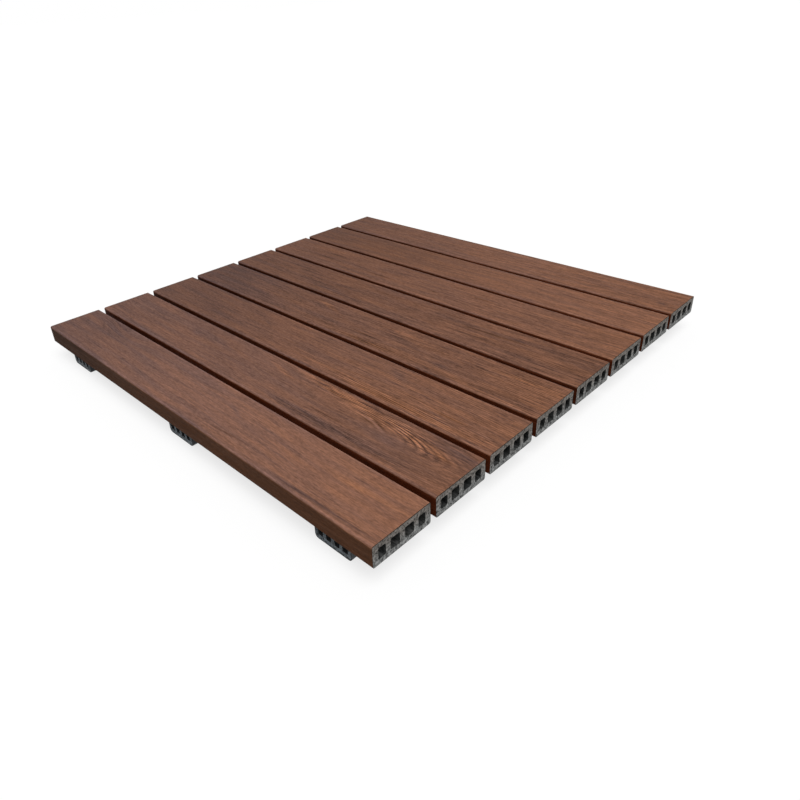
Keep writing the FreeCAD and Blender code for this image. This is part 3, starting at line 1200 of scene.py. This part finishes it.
@dataclass
class FixingScrews:
    """The countersunk screws that hold the boards from below."""

    layout: Layout
    length: float = 35
    facets: int = 20
    head_radius: float = 4
    head_height: float = 2.4
    head_edge: float = 0.15
    core_radius: float = 1.45
    tip: float = 4
    tip_radius: float = 0.25
    sink: float = 0.5
    thread_radius: float = 2
    thread_root: float = 0.1
    thread_start: float = 12
    thread_end: float = 1
    thread_pitch: float = 1.8
    thread_rise: float = 2
    thread_facets: int = 10
    slot_span: float = 4.2
    slot_width: float = 1.1
    slot_depth: float = 1.8
    slot_taper: Point = (0.6, 0.8, 1)
    crease: float = 30

    def shank(self) -> BMesh:
        """Turn the head, the core and the point."""
        profile = (
            (0, 0),
            (self.head_radius - self.head_edge, 0),
            (self.head_radius, self.head_edge),
            (self.core_radius, self.head_height),
            (self.core_radius, self.length - self.tip),
            (self.tip_radius, self.length),
            (0, self.length),
        )
        return turned(profile, self.facets)

    def cross(self) -> BMesh:
        """Build the driver's recess: two crossed slots that narrow towards their bottom."""
        mesh = bmesh.new()
        size = (self.slot_span, self.slot_width, 2 * self.slot_depth)
        for turn in (0, math.pi / 2):
            verts = bmesh.ops.create_cube(mesh, size=1)["verts"]
            bmesh.ops.scale(mesh, vec=size, verts=verts)
            bottom = [vert for vert in verts if vert.co.z > 0]
            bmesh.ops.scale(mesh, vec=self.slot_taper, verts=bottom)
            rotation = Matrix.Rotation(turn, 3, "Z")
            bmesh.ops.rotate(mesh, cent=(0, 0, 0), matrix=rotation, verts=verts)
        return mesh

    def thread(self) -> BMesh:
        """Wind a sharp thread around the core and let it run out at both ends."""
        mesh = bmesh.new()
        inner = self.core_radius - self.thread_root
        flank = self.thread_pitch / 3
        profile = (
            (inner, self.thread_start - flank),
            (self.thread_radius, self.thread_start),
            (inner, self.thread_start + flank),
        )
        face = mesh.faces.new([mesh.verts.new((radius, 0, height)) for radius, height in profile])
        turns = (self.length - self.thread_start - self.thread_end) / self.thread_pitch
        steps = int(turns * self.thread_facets)
        bmesh.ops.spin(
            mesh,
            geom=[face],
            cent=(0, 0, 0),
            axis=(0, 0, 1),
            dvec=(0, 0, self.thread_pitch / self.thread_facets),
            angle=math.tau * steps / self.thread_facets,
            steps=steps,
            use_merge=False,
        )
        end = self.thread_start + steps * self.thread_pitch / self.thread_facets
        shoulder = self.length - self.tip
        for vert in mesh.verts:
            height = vert.co.z
            core = self.core_radius
            if height > shoulder:
                core += (self.tip_radius - self.core_radius) * (height - shoulder) / self.tip
            ends = (height - self.thread_start + flank, end + flank - height)
            rise = max(min(1, *(away / self.thread_rise for away in ends)), 0)
            radius = math.hypot(vert.co.x, vert.co.y)
            wanted = core - self.thread_root
            if radius > self.core_radius:
                wanted = core + (self.thread_radius - self.core_radius) * rise
            vert.co.x *= wanted / radius
            vert.co.y *= wanted / radius
        bmesh.ops.recalc_face_normals(mesh, faces=mesh.faces)
        return mesh

    def build(self) -> None:
        """Build one screw, and set a copy at each place."""
        mesh = bored(self.shank(), self.cross(), Part.SKIN)
        thread = self.thread()
        wound = bpy.data.meshes.new("thread")
        thread.to_mesh(wound)
        thread.free()
        mesh.from_mesh(wound)
        bpy.data.meshes.remove(wound)
        bmesh.ops.translate(mesh, vec=(0, 0, self.sink), verts=mesh.verts)
        repeated(mesh, self.layout.screws(self.layout.board_lines(), self.layout.batten_lines()))
        steel = [SteelFinish().material()]
        finished(mesh, "deck_fixing_screws", steel, ["fixing_screws"], self.crease)


# The set


class Backdrop(Nodes):
    """A tree that shows the camera something else than it gives the light."""

    def __init__(self, owner: bpy.types.Material | bpy.types.World, output: str) -> None:
        """Start the tree of a material or a world, with an output node of this type."""
        super().__init__(owner)
        self.tree.nodes.clear()
        self.both = self.node("ShaderNodeMixShader")
        path = self.node("ShaderNodeLightPath").outputs
        # Straight, mirrored and through glass
        rays = [path[f"Is {name} Ray"] for name in ("Camera", "Glossy", "Transmission")]
        self.feed(self.both.inputs[0], self.math("MAXIMUM", *rays))
        self.feed(self.node(output).inputs["Surface"], self.both.outputs[0])

    def split(self, lighting: Socket, seen: Socket) -> None:
        """Set the shader that lights the tile and the one that the camera sees."""
        self.feed(self.both.inputs[1], lighting)
        self.feed(self.both.inputs[2], seen)


@dataclass
class Studio:
    """The white floor, the soft light and the camera."""

    camera_place: Point = (0.5676, -0.5490, 0.4104)
    yaw: float = 46.48
    pitch: float = 29.45
    roll: float = -3.32
    lens: float = 29.61
    sensor: float = 36
    shift: Pair = (0.0420, -0.0433)
    clip_start: float = 0.01
    sky: float = 0.28
    background: float = 1
    sun: float = 2.3
    sun_from: Point = (0.40, -0.22, 1.0)
    sun_away: float = 3
    sun_spread: float = 50
    floor_size: float = 30
    floor_colour: float = 0.3
    floor_glow: float = 0.73
    floor_bounce: float = 0.15

    def light_world(self) -> None:
        """Light everything evenly and weakly, before a white background."""
        world = bpy.data.worlds.new("sky")
        bpy.context.scene.world = world
        tree = Backdrop(world, "ShaderNodeOutputWorld")
        lighting, seen = (
            tree.fed("ShaderNodeBackground", {"Color": (1, 1, 1), "Strength": strength})
            for strength in (self.sky, self.background)
        )
        tree.split(lighting, seen)

    def lay_floor(self) -> None:
        """Lay a floor that is white to the camera and keeps the tile's shadow."""
        mesh = bmesh.new()
        bmesh.ops.create_grid(mesh, x_segments=1, y_segments=1, size=self.floor_size)
        floor = temporary(mesh, "studio_floor")
        material = bpy.data.materials.new("studio_floor")
        tree = Backdrop(material, "ShaderNodeOutputMaterial")
        bounce, shown = (
            tree.fed("ShaderNodeBsdfDiffuse", {"Color": (grey, grey, grey)})
            for grey in (self.floor_bounce, self.floor_colour)
        )
        glow = tree.fed("ShaderNodeEmission", {"Strength": self.floor_glow})
        tree.split(bounce, tree.fed("ShaderNodeAddShader", {0: shown, 1: glow}))
        floor.data.materials.append(material)

    def hang_lamp(self) -> None:
        """Hang one very wide lamp high above the tile."""
        lamp = bpy.data.lights.new("soft_lamp", "SUN")
        lamp.energy = self.sun
        lamp.angle = math.radians(self.sun_spread)
        holder = bpy.data.objects.new("soft_lamp", lamp)
        holder.rotation_euler = Vector(self.sun_from).to_track_quat("Z", "Y").to_euler()
        holder.location = Vector(self.sun_from) * self.sun_away
        bpy.context.scene.collection.objects.link(holder)

    def set_camera(self) -> None:
        """Stand the camera where the photograph was taken from."""
        place = Matrix.Translation(self.camera_place)
        for angle, axis in ((self.yaw, "Z"), (90 - self.pitch, "X"), (self.roll, "Z")):
            place @= Matrix.Rotation(math.radians(angle), 4, axis)
        camera = bpy.data.cameras.new("camera")
        camera.lens = self.lens
        camera.sensor_width = self.sensor
        camera.shift_x, camera.shift_y = self.shift
        camera.clip_start = self.clip_start
        holder = bpy.data.objects.new("camera", camera)
        holder.matrix_world = place
        bpy.context.scene.collection.objects.link(holder)
        bpy.context.scene.camera = holder

    def build(self) -> None:
        """Set everything up."""
        self.set_camera()
        self.light_world()
        self.hang_lamp()
        self.lay_floor()
        bpy.context.scene.view_settings.view_transform = "Standard"


# The grain of the boards from the front to the back
GRAINS = (
    Grain(
        1.3, pith_across=-150, pith_depth=30, pith_slope=0.05, figure=0.12,
        patches=(
            Patch(0, 0, 900, 300, -0.13, 0), Patch(-320, 0, 160, 90, 0, -0.11),
            Patch(20, 0, 150, 90, -0.04, 0.1), Patch(300, 0, 230, 90, 0.05, 0.07, -0.12),
            Patch(-225, 20, 45, 14, -0.08, -0.05, 0.3, -0.2),
            Patch(-205, -18, 45, 6, -0.12, -0.03), Patch(240, 7, 18, 4, 0.18, 0.05),
            Patch(228, -10, 20, 3, 0.14, 0.04), Patch(245, -28.8, 62, 2, -0.45, -0.42, 0.4, 0.016),
            Patch(80, -32.3, 110, 1.2, -0.1, -0.3), Patch(62, 9, 12, 2.5, -0.26, -0.06, 0, -0.3),
            Patch.streak(-246, 15, 13, -0.3, -0.05, -0.5),
            Patch.streak(-216, 8, 13, -0.25, -0.05, -0.38),
            Patch.streak(90, -20.5, 24, -0.45, 0.15, 0.09), Patch.streak(118, 9, 16, -0.13, -0.16),
            Patch.streak(164, 13.5, 9, -0.15, -0.05, -0.45),
            Patch.streak(270, 5.5, 14, -0.15, -0.15), Patch(-190, 24, 50, 16, 0, 0, push=10),
        ),
    ),
    Grain(
        2.9, pith_across=4, pith_depth=-19, pith_slope=0.15, pith_least=6, ring_width=1.9,
        figure=0.13,
        patches=(
            Patch(0, 0, 900, 300, -0.05, 0), Patch(300, 0, 210, 90, 0, -0.09),
            Patch(20, 0, 130, 90, -0.06, 0.07), Patch(150, 23, 85, 8, 0.3, 0.08, 1.9, -0.08),
            Patch(230, 14.5, 34, 6.5, 0.12, 0.08, 1.6, -0.26),
            Patch(280, 25, 38, 9, -0.35, -0.07, 0.2, -0.2),
            Patch(213, -3, 26, 9, -0.22, 0.1, -0.2), Patch(150, -23, 110, 6, -0.22, -0.04, 0.6),
            Patch(34, 17, 28, 3, 0.28, 0.08, 0.3, -0.25),
            Patch(-42, 12, 28, 4, 0.2, 0.03, 0.1, -0.2), Patch(-200, -31, 110, 3, -0.15, -0.08),
            Patch(-126, 6, 9, 5, -0.15, 0.08), Patch(216, 17, 16, 5, -0.15, 0.1),
            Patch(268, 11, 14, 4, 0.3, 0, 0.2, -0.3), Patch.streak(175, 11, 8, 0.75, -0.35, -0.08),
            Patch.streak(191, 8, 11, 0.75, -0.35, -0.33),
            Patch(191, 10.7, 11, 1.3, 0.2, -0.8, 0, -0.33),
            Patch(178, 8.2, 8, 1.2, 0.1, -0.6, 0, -0.1),
            Patch.streak(213, 16.8, 10, 0.4, -0.2, -0.15),
            Patch.streak(119, 22.3, 14, -0.45, 0.6, -0.1),
            Patch.streak(136, -12.2, 20, -0.55, 0.05, 0.02),
            Patch.streak(130, -25.3, 50, -0.3, 0.12, 0.04),
            Patch.streak(240, -21.5, 60, -0.28, -0.1, 0.03), Patch.streak(262, -31, 45, 0.3, 0.1),
            Patch.streak(255, -27.6, 45, -0.15, -0.05), Patch.streak(250, -24.6, 40, 0.18, -0.15),
        ),
    ),
    Grain(
        4.1, pith_across=160, pith_depth=22, pith_slope=-0.04,
        patches=(
            Patch(-240, 0, 200, 90, 0.02, -0.2), Patch(-158, -17, 34, 6, -0.22, -0.05),
            Patch(141, 17, 16, 6, -0.28, -0.1, 0.2, -0.3), Patch(140, 0, 50, 8, 0, 0.05),
            Patch(170, -24, 120, 7, 0.14, 0, 0.5), Patch(237, -12.5, 20, 2, 0.4, -0.22),
            Patch(238, -22, 16, 3, -0.26, 0), Patch.streak(-75, 6.5, 9, -0.2, -0.3, -0.35),
            Patch(104, -11.3, 21, 1.6, 0.24, -0.2, 0.3, 0.06),
            Patch(150, -28, 55, 2.2, 0.28, -0.34, 0.6, 0.03),
            Patch.streak(-25, -25.5, 32, 0.03, 0, 0.05), Patch.streak(190, -7.8, 24, -0.35, -0.12),
        ),
    ),
    Grain(
        6.7, pith_across=-140, pith_depth=28, pith_slope=0.05,
        patches=(
            Patch(-280, 5, 130, 60, -0.14, -0.2), Patch(-110, 10, 50, 30, 0.08, -0.07),
            Patch(-48, 15, 32, 4, 0.36, 0.08, 0.3, -0.28),
            Patch(78, 8, 28, 3.5, -0.25, -0.28, 0.3, -0.05),
            Patch(76, 17.5, 40, 3, 0.16, 0.12, 0.2, -0.05),
            Patch(60, -26.5, 42, 4, 0.45, -0.27, 0.9), Patch(164, -15, 15, 5, -0.25, -0.04),
            Patch(265, 18, 50, 8, 0.1, -0.04, 0.3),
            Patch(42, -13, 22, 1.7, 0.3, -0.32, 0.3, -0.03),
            Patch(242, -21.5, 62, 1.3, 0.1, -0.32, 0, 0.075), Patch.streak(125, -26.3, 50, -0.2),
            Patch(-140, -28, 40, 2, -0.1, -0.12), Patch(-14, -21.5, 20, 1.5, 0.1, -0.5),
        ),
    ),
    Grain(
        8.3, pith_across=150, pith_depth=30, pith_slope=0.04,
        patches=(
            Patch(-210, 0, 190, 90, 0.12, -0.15), Patch(300, 0, 90, 80, -0.12, -0.1),
            Patch(-138, -10.5, 24, 2.6, -0.05, -0.26, 0.2),
            Patch(-92, -19.8, 28, 2.4, -0.38, -0.14, 0.2), Patch(-50, -24, 22, 2.2, 0, -0.03, 0.2),
            Patch(-172, 8.5, 20, 2, -0.1, -0.19), Patch(160, 7.8, 40, 1.9, 0.25, -0.62, 0.2, 0.03),
            Patch(245, 15.5, 42, 3.4, 0.05, -0.2, 0.2, 0.1),
            Patch(150, -10, 30, 2.2, -0.1, -0.29, 0.2),
            Patch(215, -18.5, 32, 3, -0.1, -0.09, 0.2, -0.06),
            Patch(276, -8, 16, 2.5, 0.05, -0.38, 0.4),
        ),
    ),
    Grain(
        9.9, pith_across=-170, pith_depth=24, pith_slope=-0.03,
        patches=(
            Patch(-210, 0, 190, 80, 0.16, -0.14), Patch(-200, 17, 55, 5, 0.15, 0.03),
            Patch(-198, 6.5, 36, 4, -0.05, -0.19, 0.5),
            Patch(-193, -9.5, 27, 2.2, 0.15, -0.4, 0.2), Patch(-103, -27, 26, 2, 0, -0.19, 0.2),
            Patch(-74, -13.8, 25, 1.9, 0.1, -0.48), Patch(26, -11, 8, 1.9, 0.1, -0.6),
            Patch(72, -16.5, 28, 1.8, 0.05, -0.03, 0.2, 0.02), Patch(96, 7.5, 18, 2, 0.3, -0.38),
            Patch(258, 10.7, 26, 2, 0.05, -0.34), Patch(240, 0, 80, 40, 0.04, 0),
        ),
    ),
    Grain(
        11.2, pith_across=140, pith_depth=26, pith_slope=0.03,
        patches=(
            Patch(-150, 0, 200, 90, 0.22, -0.26), Patch(-300, 5, 90, 60, -0.04, -0.16),
            Patch(-110, 18, 50, 8, -0.1, -0.05), Patch(300, 0, 200, 90, 0, 0.05),
            Patch(200, -6.5, 15, 2, -0.12, -0.21), Patch(236, -8.5, 7, 1.8, 0.1, -0.48),
            Patch(206, 10.5, 24, 1.6, 0.35, -0.33),
        ),
    ),
    Grain(
        13.8, pith_across=-150, pith_depth=30, pith_slope=0.05,
        patches=(
            Patch(-190, 0, 200, 60, 0.1, -0.08), Patch(-300, 0, 90, 60, 0, -0.12),
            Patch(300, 0, 90, 60, 0, -0.06), Patch(279, -14, 7, 3, -0.4, -0.34),
            Patch(286, 5, 12, 1.6, -0.05, -0.25), Patch(227, -20.5, 24, 1.6, 0, -0.14),
        ),
    ),
)
# How light each board is
LIGHTNESS = (1.14, 1.04, 1.00, 0.90, 0.89, 0.97, 1.02, 0.98)


def main() -> None:
    """Build the tile and its set, and report each piece."""
    logging.basicConfig(level=logging.INFO, format="%(name)s: %(message)s")
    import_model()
    layout = Layout()
    finishes = tuple(CappingFinish(number, light) for number, light in enumerate(LIGHTNESS, 1))
    DeckBoards(layout, GRAINS, finishes).build()
    Battens(layout).build()
    FixingScrews(layout).build()
    Studio().build()


if __name__ == "__main__":
    main()
